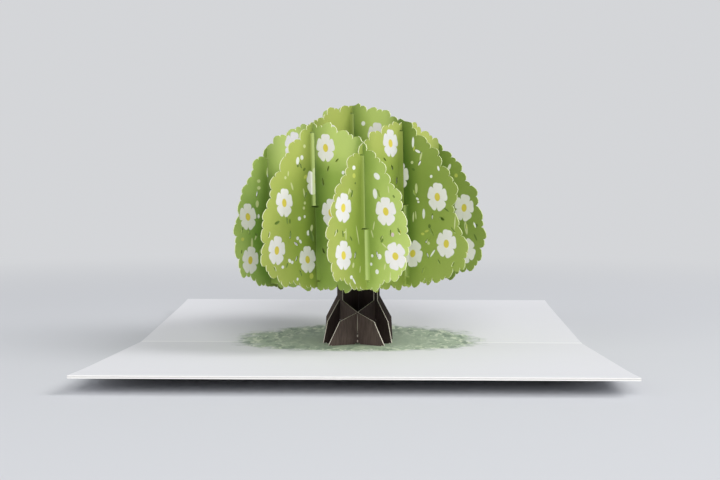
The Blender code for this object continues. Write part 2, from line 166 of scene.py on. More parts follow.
def useGroup(tree, group, **values):
    node = tree.nodes.new("ShaderNodeGroup")
    node.node_tree = group
    for name, value in values.items():
        feed(tree, node.inputs[name], value)
    return node.outputs


# A printed flower, as shares of its radius. The sharp values are powers, and the waves make it uneven
flowerLook = {
    "petals": 5,
    "turn": math.radians(-13),
    "sway": 0.12,
    "swayStep": 2.3,
    "reach": 0.97,
    "waves": 2.0,
    "waveTurn": 7.0,
    "uneven": 0.035,
    "notch": 0.29,
    "notchSharp": 4.0,
    "dip": 0.035,
    "dipSharp": 14.0,
    "eye": 0.27,
    "eyeUneven": 0.02,
    "edge": 0.035,
    "crease": 0.35,
    "creaseSharp": 16.0,
}


def flowerGroup():
    # A printed flower: radius against an outline that falls sharply at five notches and dips a little
    # in the middle of each petal
    look = flowerLook
    tree, given, out = newGroup("flowerPrint", [("Place", "v"), ("X", "f"), ("Y", "f"), ("Size", "f"),
                                                ("Turn", "f")],
                                [("Petals", "f"), ("Eye", "f"), ("Crease", "f")])
    x, y, _ = split(tree, given["Place"])
    dx = maths(tree, "DIVIDE", maths(tree, "SUBTRACT", x, given["X"]), given["Size"])
    dy = maths(tree, "DIVIDE", maths(tree, "SUBTRACT", y, given["Y"]), given["Size"])
    radius = maths(tree, "SQRT", maths(tree, "ADD", maths(tree, "MULTIPLY", dx, dx),
                                       maths(tree, "MULTIPLY", dy, dy)))
    angle = maths(tree, "ADD", maths(tree, "ARCTAN2", dy, dx), given["Turn"])
    half = maths(tree, "MULTIPLY", angle, look["petals"] / 2)
    petal = maths(tree, "ABSOLUTE", maths(tree, "COSINE", half))
    valley = maths(tree, "SUBTRACT", 1.0, petal)
    uneven = maths(tree, "SINE", maths(tree, "MULTIPLY_ADD", given["Turn"], look["waveTurn"],
                                       maths(tree, "MULTIPLY", angle, look["waves"])))
    notch = maths(tree, "MULTIPLY", maths(tree, "POWER", valley, look["notchSharp"]), look["notch"])
    dip = maths(tree, "MULTIPLY", maths(tree, "POWER", petal, look["dipSharp"]), look["dip"])
    reach = maths(tree, "SUBTRACT", maths(tree, "MULTIPLY_ADD", uneven, look["uneven"], look["reach"]),
                  maths(tree, "ADD", notch, dip))
    petals = ramp(tree, maths(tree, "SUBTRACT", reach, radius), 0.0, 1.0, -look["edge"], look["edge"])
    eyeReach = maths(tree, "MULTIPLY_ADD", uneven, look["eyeUneven"], look["eye"])
    eye = ramp(tree, maths(tree, "SUBTRACT", eyeReach, radius), 0.0, 1.0, -look["edge"], look["edge"])
    groove = maths(tree, "MULTIPLY", maths(tree, "POWER", valley, look["creaseSharp"]), look["crease"])
    feed(tree, out["Petals"], petals)
    feed(tree, out["Eye"], eye)
    feed(tree, out["Crease"], maths(tree, "MULTIPLY", groove, maths(tree, "MULTIPLY", petals, radius)))
    return tree


markEdge = (0.7, 1.3)


def markGroup():
    # One small oval mark: its place, half length, half width and turn
    tree, given, out = newGroup("markPrint", [("Place", "v"), ("X", "f"), ("Y", "f"), ("Length", "f"),
                                              ("Width", "f"), ("Cos", "f"), ("Sin", "f")], [("Mark", "f")])
    x, y, _ = split(tree, given["Place"])
    dx, dy = maths(tree, "SUBTRACT", x, given["X"]), maths(tree, "SUBTRACT", y, given["Y"])
    along = maths(tree, "MULTIPLY_ADD", dx, given["Cos"], maths(tree, "MULTIPLY", dy, given["Sin"]))
    across = maths(tree, "SUBTRACT", maths(tree, "MULTIPLY", dy, given["Cos"]),
                   maths(tree, "MULTIPLY", dx, given["Sin"]))
    along = maths(tree, "DIVIDE", along, given["Length"])
    across = maths(tree, "DIVIDE", across, given["Width"])
    reach = maths(tree, "MULTIPLY_ADD", along, along, maths(tree, "MULTIPLY", across, across))
    feed(tree, out["Mark"], ramp(tree, reach, 1.0, 0.0, *markEdge))
    return tree


# The printed green, with painted shade in its valleys and painted light and shade at its crests. The hem,
# the crest, the fading and the valleys' half widths are in millimetres, the scales are those of noise, and
# the rest are shares of the outline or of full strength
foliageLook = {
    "squareness": 2.2,
    "lowerReach": 0.9,
    "broadScale": 0.05,
    "broadDrift": (0.3, 0.7),
    "fineScale": 0.16,
    "drift": 0.10,
    "hem": 15,
    "hemPale": -0.22,
    "crest": (60, 84),
    "rim": (0.58, 1.02),
    "fading": 20,
    "fadingLow": 0.25,
    "valley": {-1: 10.5, 0: 12.0, 1: 10.5},
    "valleyDepth": 1.15,
    "valleyAtRim": 0.5,
}


def foliageGroup():
    # Airbrushed green: pale near the outline, deep in the valleys beside the slots, smooth between them. The
    # deep valleys are partly print and partly painted shade where the sheets meet
    look = foliageLook
    given = [("Place", "v"), ("Half", "f"), ("Wide", "f"), ("Top", "f"), ("Left", "f"), ("Middle", "f"),
             ("Right", "f"), ("Crest", "f"), ("Pale", "c"), ("Mid", "c"), ("Deep", "c")]
    tree, given, out = newGroup("foliagePrintAndShading", given, [("Color", "c"), ("Reach", "f")])
    x, y, _ = split(tree, given["Place"])
    across = maths(tree, "ABSOLUTE", maths(tree, "DIVIDE", x, given["Half"]))
    rise = maths(tree, "SUBTRACT", y, given["Wide"])
    above = maths(tree, "DIVIDE", rise, maths(tree, "SUBTRACT", given["Top"], given["Wide"]))
    below = maths(tree, "DIVIDE", rise, maths(tree, "SUBTRACT", given["Wide"], crown["bottom"]))
    height = maths(tree, "MAXIMUM", above, maths(tree, "MULTIPLY", below, -look["lowerReach"]))
    reach = maths(tree, "POWER", maths(tree, "ADD", maths(tree, "POWER", across, look["squareness"]),
                                       maths(tree, "POWER", height, look["squareness"])),
                  1 / look["squareness"])
    broad = noise(tree, given["Place"], look["broadScale"], 1.0)
    fine = noise(tree, given["Place"], look["fineScale"], 2.0)
    drift = maths(tree, "ADD", ramp(tree, broad, -0.5, 0.5, *look["broadDrift"]),
                  maths(tree, "SUBTRACT", fine, 0.5))
    # The pale rim is fainter along the hem; at the crest painted light makes it stronger and painted shade
    # fainter
    hem = ramp(tree, y, look["hemPale"], 0.0, crown["bottom"], crown["bottom"] + look["hem"])
    crest = maths(tree, "MULTIPLY", ramp(tree, y, 0.0, 1.0, *look["crest"]), given["Crest"])
    spread = maths(tree, "ADD", maths(tree, "ADD", reach, hem), crest)
    rim = ramp(tree, maths(tree, "MULTIPLY_ADD", drift, look["drift"], spread), 0.0, 1.0, *look["rim"])
    colour = blendColours(tree, rim, given["Mid"], given["Pale"])
    # Darkening beside the slots: partly print, partly painted shade where the sheets meet
    valley = 0.0
    fading = ramp(tree, y, look["fadingLow"], 1.0, crown["bottom"], crown["bottom"] + look["fading"])
    for name, row in (("Left", -1), ("Middle", 0), ("Right", 1)):
        off = maths(tree, "ABSOLUTE", maths(tree, "SUBTRACT", x, row * crown["spacing"] / mm))
        beside = ramp(tree, off, 1.0, 0.0, 0.0, look["valley"][row])
        near = maths(tree, "MULTIPLY", beside, given[name])
        valley = maths(tree, "MAXIMUM", valley, near)
    strength = maths(tree, "SUBTRACT", look["valleyDepth"], maths(tree, "MULTIPLY", rim, look["valleyAtRim"]))
    deep = maths(tree, "MULTIPLY", maths(tree, "MULTIPLY", valley, fading), strength, clamp=True)
    feed(tree, out["Color"], blendColours(tree, deep, colour, given["Deep"]))
    feed(tree, out["Reach"], reach)
    return tree


# Tooth of paper: scales of noise per millimetre, and how fibres are drawn out and turned
toothLook = {"stretch": (0.5, 3.0, 1.0), "turn": (0.3, 0.2, 0.7), "fibre": 3.0, "grain": 7.0, "tone": 0.12}


def toothGroup():
    # Tooth of uncoated paper: fibres as two noises, one drawn out
    tree, given, out = newGroup("paperTooth", [("Place", "v")], [("Height", "f"), ("Tone", "f")])
    fibre = tree.nodes.new("ShaderNodeMapping")
    feed(tree, fibre.inputs["Vector"], given["Place"])
    fibre.inputs["Scale"].default_value = toothLook["stretch"]
    fibre.inputs["Rotation"].default_value = toothLook["turn"]
    drawn = noise(tree, fibre.outputs[0], toothLook["fibre"], 3.0, 0.6)
    grain = noise(tree, given["Place"], toothLook["grain"], 3.0, 0.65)
    feed(tree, out["Height"], maths(tree, "MULTIPLY_ADD", drawn, 0.5, maths(tree, "MULTIPLY", grain, 0.5)))
    feed(tree, out["Tone"], noise(tree, given["Place"], toothLook["tone"], 4.0, 0.6))
    return tree


groups = {"flower": flowerGroup(), "mark": markGroup(), "foliage": foliageGroup(), "tooth": toothGroup()}
print("print groups made:", len(groups))


def newMaterial(name, roughness, specular):
    material = bpy.data.materials.new(name)
    material.use_nodes = True
    tree = material.node_tree
    shader = tree.nodes["Principled BSDF"]
    shader.inputs["Roughness"].default_value = roughness
    shader.inputs["Specular IOR Level"].default_value = specular
    return material, tree, shader


def sheetPlace(tree, sheetFrame):
    # Place in a sheet's own plane, in millimetres: x along the sheet, y up, z through the paper
    source = tree.nodes.new("ShaderNodeTexCoord")
    mapping = tree.nodes.new("ShaderNodeMapping")
    mapping.vector_type = "TEXTURE"
    tree.links.new(source.outputs["Object"], mapping.inputs["Vector"])
    mapping.inputs["Location"].default_value = sheetFrame.to_translation()
    mapping.inputs["Rotation"].default_value = sheetFrame.to_euler("XYZ")
    mapping.inputs["Scale"].default_value = (mm, mm, mm)
    return mapping.outputs[0], source.outputs["Normal"]


# A sheet's cut edge: how far its normal is turned, how many millimetres off the sheet's plane it goes, and
# the share of the outline past which it is cream
edgeLook = {"turned": 0.5, "flat": 0.2, "creamFrom": 0.88}


def cutEdge(tree, normal, faceNormal):
    # 1 on the cut edge of a sheet, 0 on its faces
    dot = tree.nodes.new("ShaderNodeVectorMath")
    dot.operation = "DOT_PRODUCT"
    feed(tree, dot.inputs[0], normal)
    dot.inputs[1].default_value = faceNormal
    return maths(tree, "LESS_THAN", maths(tree, "ABSOLUTE", dot.outputs["Value"]), edgeLook["turned"])


# Finish of each kind of paper and of the glue, with the strength and height of its tooth and its mottling
finishes = {
    "crown": {"roughness": 0.62, "specular": 0.3, "tooth": 0.25, "toothHeight": 0.06 * mm, "tone": 0.16,
              "mottle": (0.30, 0.36, 0.20, 1)},
    "trunk": {"roughness": 0.7, "specular": 0.3, "tooth": 0.3, "toothHeight": 0.06 * mm, "tone": 0.3,
              "mottle": (0.60, 0.55, 0.50, 1)},
    "card": {"roughness": 0.6, "specular": 0.35, "tooth": 0.15, "toothHeight": 0.05 * mm, "tone": 0.12,
             "mottle": (0.88, 0.88, 0.86, 1)},
    "glue": {"roughness": 0.7, "specular": 0.2, "tooth": 0.2, "toothHeight": 0.04 * mm, "tone": 0.3,
             "mottle": (0.80, 0.80, 0.80, 1)},
}


def paperMaterial(name, kind, sheetFrame):
    # A material with the tooth of its kind, the place in the sheet's plane, the normal and the tooth's tone
    finish = finishes[kind]
    material, tree, shader = newMaterial(name, finish["roughness"], finish["specular"])
    place, normal = sheetPlace(tree, sheetFrame)
    tooth = useGroup(tree, groups["tooth"], Place=place)
    bump = tree.nodes.new("ShaderNodeBump")
    bump.inputs["Strength"].default_value = finish["tooth"]
    bump.inputs["Distance"].default_value = finish["toothHeight"]
    tree.links.new(tooth["Height"], bump.inputs["Height"])
    tree.links.new(bump.outputs[0], shader.inputs["Normal"])
    return material, tree, shader, place, normal, tooth["Tone"]


def mottled(tree, colour, tone, kind):
    finish = finishes[kind]
    return blendColours(tree, maths(tree, "MULTIPLY", tone, finish["tone"]), colour, finish["mottle"],
                        "MULTIPLY")


greens = {
    "a": {"Pale": (0.58, 0.72, 0.20, 1), "Mid": (0.33, 0.47, 0.09, 1), "Deep": (0.11, 0.20, 0.025, 1)},
    "b": {"Pale": (0.47, 0.54, 0.125, 1), "Mid": (0.32, 0.43, 0.07, 1), "Deep": (0.12, 0.20, 0.025, 1)},
}
# The outer wings of some sheets take other greens: painted shade, deeper on wings that other sheets shadow,
# and painted light on the front a-sheet's wing, whose middle green is paler
wingLightAndShadeGreens = {
    "crown_a_front": {"Mid": (0.37, 0.51, 0.105, 1)},
    "crown_a_middle": {"Pale": (0.36, 0.46, 0.10, 1), "Mid": (0.32, 0.43, 0.085, 1)},
    "crown_a_rear": {"Pale": (0.30, 0.40, 0.09, 1), "Mid": (0.24, 0.35, 0.06, 1)},
    "crown_b_front": {"Pale": (0.41, 0.475, 0.108, 1)},
    "crown_b_rear": {"Pale": (0.46, 0.60, 0.165, 1), "Mid": (0.18, 0.34, 0.052, 1)},
}
# How deep the green is beside the left, middle and right slot of each sheet: partly print, partly painted
# shade where the sheets meet
valleyPrintAndShade = {
    "crown_a_front": (0.7, 0.85, 0.35), "crown_a_middle": (0.7, 0.95, 1.0), "crown_a_rear": (0.7, 0.7, 0.7),
    "crown_b_front": (0.2, 0.32, 0.7), "crown_b_middle": (0.75, 0.6, 0.5), "crown_b_rear": (0.8, 0.7, 0.7),
}
# Painted light and painted shade at each sheet's crest: how much paler (deeper, below 0) the left and the
# right of it are
crestLightAndShade = {
    "crown_a_front": (0.32, -0.32), "crown_a_middle": (0.08, -0.06), "crown_a_rear": (0.0, 0.0),
    "crown_b_front": (-0.18, 0.05), "crown_b_middle": (0.20, 0.10), "crown_b_rear": (0.14, 0.0),
}
# Painted shade on the upper half of an outer wing: how much deeper it is, and the heights between which it
# deepens
upperShades = {"crown_a_front": 0.15, "crown_a_middle": 0.4}
upperShadeHeights = (46, 62)
# Millimetres along a sheet: between the first two its wing's green comes in, and the crest's two halves meet
# at the third, with the fourth as half the width of the change
wingFrom, wingTo, wingMiddle, wingBlend = 20, 31, 23, 4
printInks = {
    "petal": (0.94, 0.91, 0.92, 1),
    "petalShadedFront": (0.84, 0.82, 0.83, 1),
    "petalShade": (0.62, 0.62, 0.66, 1),
    "eye": (0.82, 0.68, 0.10, 1),
    "bud": (0.95, 0.95, 0.94, 1),
    "pink": (0.80, 0.62, 0.68, 1),
    "yolk": (0.62, 0.66, 0.14, 1),
    "vein": (0.72, 0.77, 0.42, 1),
    "holeShade": (0.10, 0.17, 0.03, 1),
    "cut": (0.16, 0.24, 0.05, 1),
    "flap": (0.56, 0.68, 0.24, 1),
    "upperShade": (0.55, 0.62, 0.45, 1),
}
# Cut edge colours along each sheet's outline: the darker, greener ones of the rear sheets are painted shade
edgeCreamAndShade = {
    "crown_a_front": (0.82, 0.85, 0.56, 1), "crown_a_middle": (0.64, 0.71, 0.38, 1),
    "crown_a_rear": (0.50, 0.59, 0.25, 1), "crown_b_front": (0.82, 0.84, 0.54, 1),
    "crown_b_middle": (0.80, 0.83, 0.52, 1), "crown_b_rear": (0.72, 0.78, 0.45, 1),
}
# Millimetres off a sheet's plane between which a bent flap gets painted light, paler than its print, and by
# what share
flapReach = (0.3, 0.9)
flapPale = 0.75

# Flowers of each sheet: along the sheet and above the fold, in millimetres, from the photograph
# where they show, and spread alike where they don't. A third number is a flower's own turn in degrees
flowers = {
    "crown_a_front": [(38.8, 54.0), (43.3, 37.8, 180), (7.0, 78.0), (9.3, 53.3), (-11.6, 79.4), (-40.5, 53.0),
                      (-41.5, 36.5), (-19.5, 60.0), (-13.0, 38.5), (17.5, 36.5)],
    "crown_b_front": [(-41.5, 55.7), (-41.9, 38.5), (-9.1, 79.3), (-12.0, 57.5), (9.8, 76.1), (40.5, 53.0),
                      (41.5, 36.5), (14.0, 57.0), (-17.0, 37.0), (13.5, 36.0)],
    "crown_a_middle": [(45.3, 58.6), (49.5, 41.0), (31.9, 36.8, 180), (25.4, 66.8), (13.3, 82.6),
                       (-45.5, 58.0), (-50.5, 40.5), (-32.0, 37.0), (-23.4, 75.6), (-10.5, 80.5),
                       (5.0, 62.0), (-9.0, 43.0), (13.0, 38.0)],
    "crown_b_middle": [(-47.0, 57.6), (-52.2, 40.1), (-33.1, 35.5), (-27.6, 65.3), (-15.5, 82.0),
                       (46.0, 58.0), (50.5, 40.5), (32.0, 36.5), (29.0, 66.5), (10.0, 82.0),
                       (-7.0, 62.0), (9.5, 50.0), (-11.5, 40.0)],
    "crown_a_rear": [(40.5, 53.6), (40.8, 36.6, 180), (-40.5, 54.0), (-42.0, 37.5), (7.0, 78.0),
                     (-12.5, 78.5), (-7.0, 56.0), (18.5, 58.0), (16.0, 36.5), (-16.0, 37.5)],
    "crown_b_rear": [(-41.1, 51.9), (-40.2, 34.8), (40.5, 54.0), (42.0, 37.5), (-7.0, 78.0), (12.5, 78.5),
                     (8.0, 56.0), (-18.0, 58.5), (-15.0, 36.5), (17.0, 37.0)],
}
flowerSize = 5.45

# Small marks of each sheet, alike on both halves: place, half length, half width and turn in degrees. The
# dark marks beside the cut holes are painted shade, as the holes look into shade
marks = {
    "crown_a_front": {
        "bud": [(34.5, 66.9, 1.7, 1.1, -30), (33.4, 60.5, 1.9, 1.1, 100), (35.1, 37.4, 1.1, 1.0, 0),
                (33.7, 31.8, 0.9, 0.9, 0), (31.3, 37.6, 0.6, 0.6, 0), (30.7, 34.5, 0.6, 0.6, 0),
                (16.5, 68.5, 0.8, 0.7, 20), (21.5, 45.5, 0.7, 1.0, 0)],
        "pink": [(42.1, 45.6, 0.8, 0.8, 0)],
        "vein": [(32.4, 48.7, 1.7, 0.3, 75), (31.5, 45.7, 1.5, 0.3, 110), (37.8, 41.5, 1.6, 0.25, -35),
                 (37.8, 33.8, 1.2, 0.4, 75), (40.3, 29.1, 3.0, 0.25, 82), (40.4, 62.0, 1.4, 0.3, 100),
                 (12.0, 46.0, 2.4, 0.3, 80)],
        "yolk": [(14.0, 61.5, 0.8, 0.8, 0), (45.9, 46.5, 0.8, 0.5, 60)],
        "holeShade": [(36.6, 43.3, 0.9, 0.5, 40), (43.0, 59.5, 0.7, 0.4, -40), (20.5, 55.0, 1.1, 0.5, 60)],
    },
    "crown_b_front": {
        "bud": [(-34.2, 70.2, 1.0, 0.8, 0), (-37.2, 30.2, 0.9, 0.7, 0), (-35.5, 28.7, 1.6, 0.4, -50),
                (-14.0, 68.0, 0.8, 0.8, 0), (-21.0, 50.0, 0.9, 0.7, 30)],
        "vein": [(-32.6, 45.4, 3.6, 0.3, -76), (-40.1, 46.1, 2.2, 0.3, 88), (-41.0, 46.9, 1.0, 0.25, 20),
                 (-31.4, 32.7, 1.3, 0.3, 80), (-35.8, 34.5, 1.0, 0.6, 70), (-37.6, 61.6, 1.2, 0.35, 70),
                 (-36.1, 61.0, 1.5, 0.3, -60), (-16.5, 42.0, 2.6, 0.3, 78)],
        "yolk": [(-34.2, 67.3, 1.0, 0.9, 0), (-19.0, 62.0, 0.8, 0.8, 0)],
        "holeShade": [(-36.1, 61.3, 1.0, 0.45, -60), (-33.5, 64.5, 0.5, 0.4, 0), (-45.5, 47.5, 0.7, 0.4, 70)],
    },
    "crown_a_middle": {
        "bud": [(5.9, 87.9, 1.1, 0.9, 0), (33.1, 79.6, 2.0, 0.6, 86), (35.5, 76.1, 1.4, 0.5, -20),
                (46.1, 69.4, 1.0, 0.5, -70), (42.3, 66.4, 0.7, 0.6, 20), (38.1, 52.2, 1.9, 0.7, 88),
                (42.4, 37.2, 1.8, 0.4, 48), (34.9, 57.9, 0.8, 0.45, -30), (35.4, 56.7, 0.6, 0.4, 0),
                (14.5, 70.0, 0.8, 0.8, 0), (20.0, 46.0, 1.3, 0.6, 60)],
        "vein": [(34.4, 61.9, 1.9, 0.7, 90), (32.6, 50.9, 1.9, 0.4, 85), (33.9, 51.6, 1.6, 0.3, 95),
                 (37.1, 74.1, 1.7, 0.45, 70), (54.0, 49.0, 2.6, 0.3, 84), (40.4, 41.0, 0.7, 0.6, 0),
                 (32.4, 71.9, 0.7, 0.6, 0), (10.5, 50.0, 2.4, 0.3, 75)],
        "yolk": [(39.5, 45.6, 1.1, 0.45, 15), (37.4, 44.5, 0.9, 0.5, 0), (33.6, 77.2, 0.9, 0.4, 80),
                 (17.0, 57.0, 0.8, 0.8, 0)],
        "holeShade": [(37.1, 75.5, 0.6, 0.5, 0), (33.0, 69.2, 0.9, 0.5, -20), (49.5, 54.0, 1.8, 0.3, -30),
                    (42.8, 78.5, 1.0, 0.35, 30), (41.0, 47.5, 0.7, 0.8, 0)],
    },
    "crown_b_middle": {
        "bud": [(-38.1, 73.3, 1.5, 1.0, 70), (-35.4, 74.5, 1.0, 0.9, 0), (-37.8, 51.4, 1.0, 0.8, 0),
                (-32.4, 45.7, 0.9, 1.0, 0), (-39.2, 44.0, 0.9, 0.7, 0), (-37.5, 42.7, 1.0, 0.6, -40),
                (-44.5, 35.8, 1.0, 0.7, -30), (-42.9, 35.1, 0.8, 0.6, 0), (-34.4, 52.0, 0.6, 0.6, 0),
                (-48.8, 33.7, 0.8, 0.6, 0), (-39.8, 28.5, 0.6, 0.6, 0), (-14.0, 60.0, 0.8, 0.8, 0),
                (-20.5, 78.5, 0.8, 0.8, 0), (-18.5, 86.0, 0.7, 0.5, 50)],
        "vein": [(-42.0, 63.7, 1.6, 0.5, -65), (-34.4, 60.9, 2.0, 0.5, -72), (-30.1, 47.4, 1.4, 0.8, 72),
                 (-34.1, 57.2, 0.7, 0.6, 0), (-34.8, 55.3, 0.7, 0.6, 0), (-33.6, 78.8, 0.8, 0.7, 0),
                 (-44.2, 68.5, 1.0, 0.4, 80), (-46.0, 67.0, 0.7, 0.6, 0), (-17.0, 48.0, 2.4, 0.3, 80),
                 (-41.9, 82.0, 1.8, 0.4, 60), (-24.0, 84.0, 0.9, 0.4, 70)],
        "yolk": [(-33.3, 67.2, 1.2, 0.7, 20), (-30.8, 29.0, 1.3, 1.1, 0), (-20.0, 68.0, 0.8, 0.8, 0)],
        "holeShade": [(-26.6, 78.6, 1.0, 0.8, 0), (-38.1, 71.4, 0.6, 0.6, 0), (-34.0, 70.0, 0.9, 0.5, 30),
                    (-43.8, 50.6, 0.5, 0.9, 0)],
    },
    "crown_a_rear": {
        "bud": [(33.0, 70.0, 1.3, 0.7, 60), (34.5, 34.0, 0.9, 0.8, 0), (15.0, 69.0, 0.8, 0.8, 0),
                (20.0, 50.0, 1.2, 0.6, 70)],
        "vein": [(35.9, 59.8, 1.9, 1.0, 80), (41.4, 45.6, 2.6, 0.8, 100), (32.5, 45.0, 2.0, 0.35, 80),
                 (10.0, 66.0, 1.5, 0.4, 60)],
        "yolk": [(36.5, 66.5, 0.9, 0.8, 0), (33.5, 31.5, 0.8, 0.8, 0), (12.0, 45.0, 0.8, 0.8, 0)],
        "holeShade": [(46.8, 46.7, 0.8, 0.6, 0), (46.3, 42.0, 1.5, 0.4, -60), (37.0, 50.0, 1.0, 0.5, 30)],
    },
    "crown_b_rear": {
        "bud": [(-34.4, 51.9, 0.7, 0.9, 0), (-27.7, 68.4, 1.2, 0.7, 60), (-14.0, 68.0, 0.8, 0.8, 0),
                (-20.0, 47.0, 1.2, 0.6, 70)],
        "vein": [(-33.8, 65.8, 1.1, 0.7, 0), (-33.8, 63.1, 1.1, 0.7, 0), (-35.1, 56.8, 1.4, 1.0, 80),
                 (-39.0, 41.1, 2.4, 0.7, 86), (-36.6, 43.5, 1.1, 0.4, 60), (-28.5, 69.5, 1.6, 0.4, 80),
                 (-12.0, 46.0, 1.8, 0.4, 70)],
        "yolk": [(-44.7, 43.3, 1.0, 0.7, 0), (-19.0, 60.0, 0.8, 0.8, 0)],
        "holeShade": [(-35.6, 56.3, 0.6, 0.4, 0), (-45.5, 38.5, 0.8, 0.4, 70), (-22.0, 70.0, 1.0, 0.5, 30)],
    },
}
markStrength = {"holeShade": 0.8, "vein": 0.85, "yolk": 0.85, "pink": 0.9, "bud": 1.0}


def upright(centre, heading, tilt):
    place = Matrix.Translation((centre[0], centre[1], card["foldTop"]))
    return tilt @ place @ Matrix.Rotation(heading, 4, "Z") @ Matrix.Rotation(math.pi / 2, 4, "X")


def crownFrame(name):
    # Frame of a crown sheet, worked out from the lattice's angles and spacing
    family = name.split("_")[1]
    row = {"a_front": -1, "a_middle": 0, "a_rear": 1, "b_rear": -1, "b_middle": 0, "b_front": 1}[name[6:]]
    headings = {"a": crown["yaw"] - crown["halfAngle"], "b": crown["yaw"] + crown["halfAngle"]}
    across = headings["b" if family == "a" else "a"]
    x = crown["centre"][0] + row * crown["spacing"] * math.cos(across)
    y = crown["centre"][1] + row * crown["spacing"] * math.sin(across)
    pivot = Matrix.Translation((crown["centre"][0], 0, card["foldTop"] + crown["tiltHeight"]))
    tilt = pivot @ Matrix.Rotation(-crown["tilt"], 4, "Y") @ pivot.inverted()
    return upright((x, y), headings[family], tilt), family, row


def crownMaterial(name):
    sheetFrame, family, row = crownFrame(name)
    shape = crown["outer"] if row else crown["middle"]
    material, tree, shader, place, normal, tone = paperMaterial(name + "_print", "crown", sheetFrame)
    x, y, z = split(tree, place)
    outwards = 1 if family == "a" else -1
    inks = dict(greens[family])
    wing = ramp(tree, maths(tree, "MULTIPLY", x, outwards), 0.0, 1.0, wingFrom, wingTo)
    # Painted light and shade on the outer wings
    for ink, wingInk in wingLightAndShadeGreens.get(name, {}).items():
        inks[ink] = blendColours(tree, wing, inks[ink], wingInk)
    left, middle, right = valleyPrintAndShade[name]
    crest = ramp(tree, x, *crestLightAndShade[name], outwards * wingMiddle - wingBlend, outwards * wingMiddle + wingBlend)
    foliage = useGroup(tree, groups["foliage"], Place=place, Half=shape["half"], Wide=shape["wide"],
                       Top=shape["top"], Left=left, Middle=middle, Right=right, Crest=crest, **inks)
    colour = foliage["Color"]
    # Painted shade on the upper half of some outer wings
    if name in upperShades:
        upperShade = maths(tree, "MULTIPLY", ramp(tree, y, 0.0, upperShades[name], *upperShadeHeights), wing)
        colour = blendColours(tree, upperShade, colour, printInks["upperShade"], "MULTIPLY")
    halved = join(tree, maths(tree, "MULTIPLY", maths(tree, "ABSOLUTE", x), outwards), y)
    # Print marks, and dark marks beside the cut holes that are painted shade
    for ink in ("holeShade", "vein", "yolk", "pink", "bud"):
        mask = 0.0
        for markX, markY, length, width, degrees in marks[name].get(ink, []):
            turn = math.radians(degrees)
            mark = useGroup(tree, groups["mark"], Place=halved, X=markX, Y=markY, Length=length, Width=width,
                            Cos=math.cos(turn), Sin=math.sin(turn))["Mark"]
            mask = maths(tree, "MAXIMUM", mask, mark)
        colour = blendColours(tree, maths(tree, "MULTIPLY", mask, markStrength[ink]), colour, printInks[ink])
    petals, eyes, creases = 0.0, 0.0, 0.0
    for number, (flowerX, flowerY, *turned) in enumerate(flowers[name]):
        sway = flowerLook["sway"] * math.sin(flowerLook["swayStep"] * number + row)
        flower = useGroup(tree, groups["flower"], Place=place, X=flowerX, Y=flowerY, Size=flowerSize,
                          Turn=flowerLook["turn"] + sway + math.radians(sum(turned)))
        petals = maths(tree, "MAXIMUM", petals, flower["Petals"])
        eyes = maths(tree, "MAXIMUM", eyes, flower["Eye"])
        creases = maths(tree, "MAXIMUM", creases, flower["Crease"])
    # The front b-sheet's petals take a greyer ink: painted shade against the stronger light on that sheet
    petalInk = printInks["petalShadedFront" if name == "crown_b_front" else "petal"]
    petalColour = blendColours(tree, creases, petalInk, printInks["petalShade"])
    colour = blendColours(tree, petals, colour, petalColour)
    colour = blendColours(tree, eyes, colour, printInks["eye"])
    colour = mottled(tree, colour, tone, "crown")
    # A flap bent well aside gets painted light, paler than its print, and the cut edge is cream along the
    # outline only
    aside = ramp(tree, maths(tree, "ABSOLUTE", z), 0.0, 1.0, *flapReach)
    colour = blendColours(tree, maths(tree, "MULTIPLY", aside, flapPale), colour, printInks["flap"])
    faceNormal = sheetFrame.to_3x3() @ Vector((0, 0, 1))
    flat = maths(tree, "LESS_THAN", maths(tree, "ABSOLUTE", z), edgeLook["flat"])
    rim = maths(tree, "MULTIPLY", cutEdge(tree, normal, faceNormal), flat)
    # Inside the outline the cut edge takes a dark green: painted shade in the cuts and slots
    outer = maths(tree, "GREATER_THAN", foliage["Reach"], edgeLook["creamFrom"])
    edgeInk = blendColours(tree, outer, printInks["cut"], edgeCreamAndShade[name])
    colour = blendColours(tree, rim, colour, edgeInk)
    tree.links.new(colour, shader.inputs["Base Color"])
    return material


barkInks = {"face": (0.140, 0.102, 0.088, 1), "dark": (0.092, 0.066, 0.058, 1), "edge": (0.76, 0.70, 0.60, 1),
            "deep": (0.42, 0.38, 0.40, 1)}
# Where painted shade darkens each sheet, as a place along it, and where its front crossing is
barkHalf = trunk["spacing"] / 2 / mm
barkShadeFrom = {"trunk_front_right": 0.2 - barkHalf, "trunk_rear_left": -60, "trunk_rear_right": -60}
barkCrossing = {"trunk_front_left": barkHalf, "trunk_front_right": -barkHalf}
# White paper at the front crossing: middle height, half length and half width
barkGaps = ((8.4, 3.9, 0.24), (3.4, 0.5, 0.45), (1.3, 0.5, 0.45))
# Bark: how its grain is drawn out, its scale, where dark turns to light, and the other strengths
barkLook = {"grain": (1.0, 0.16, 1.0), "scale": 1.3, "spread": (0.35, 0.7), "deepBlend": 0.4, "gapShow": 0.7}


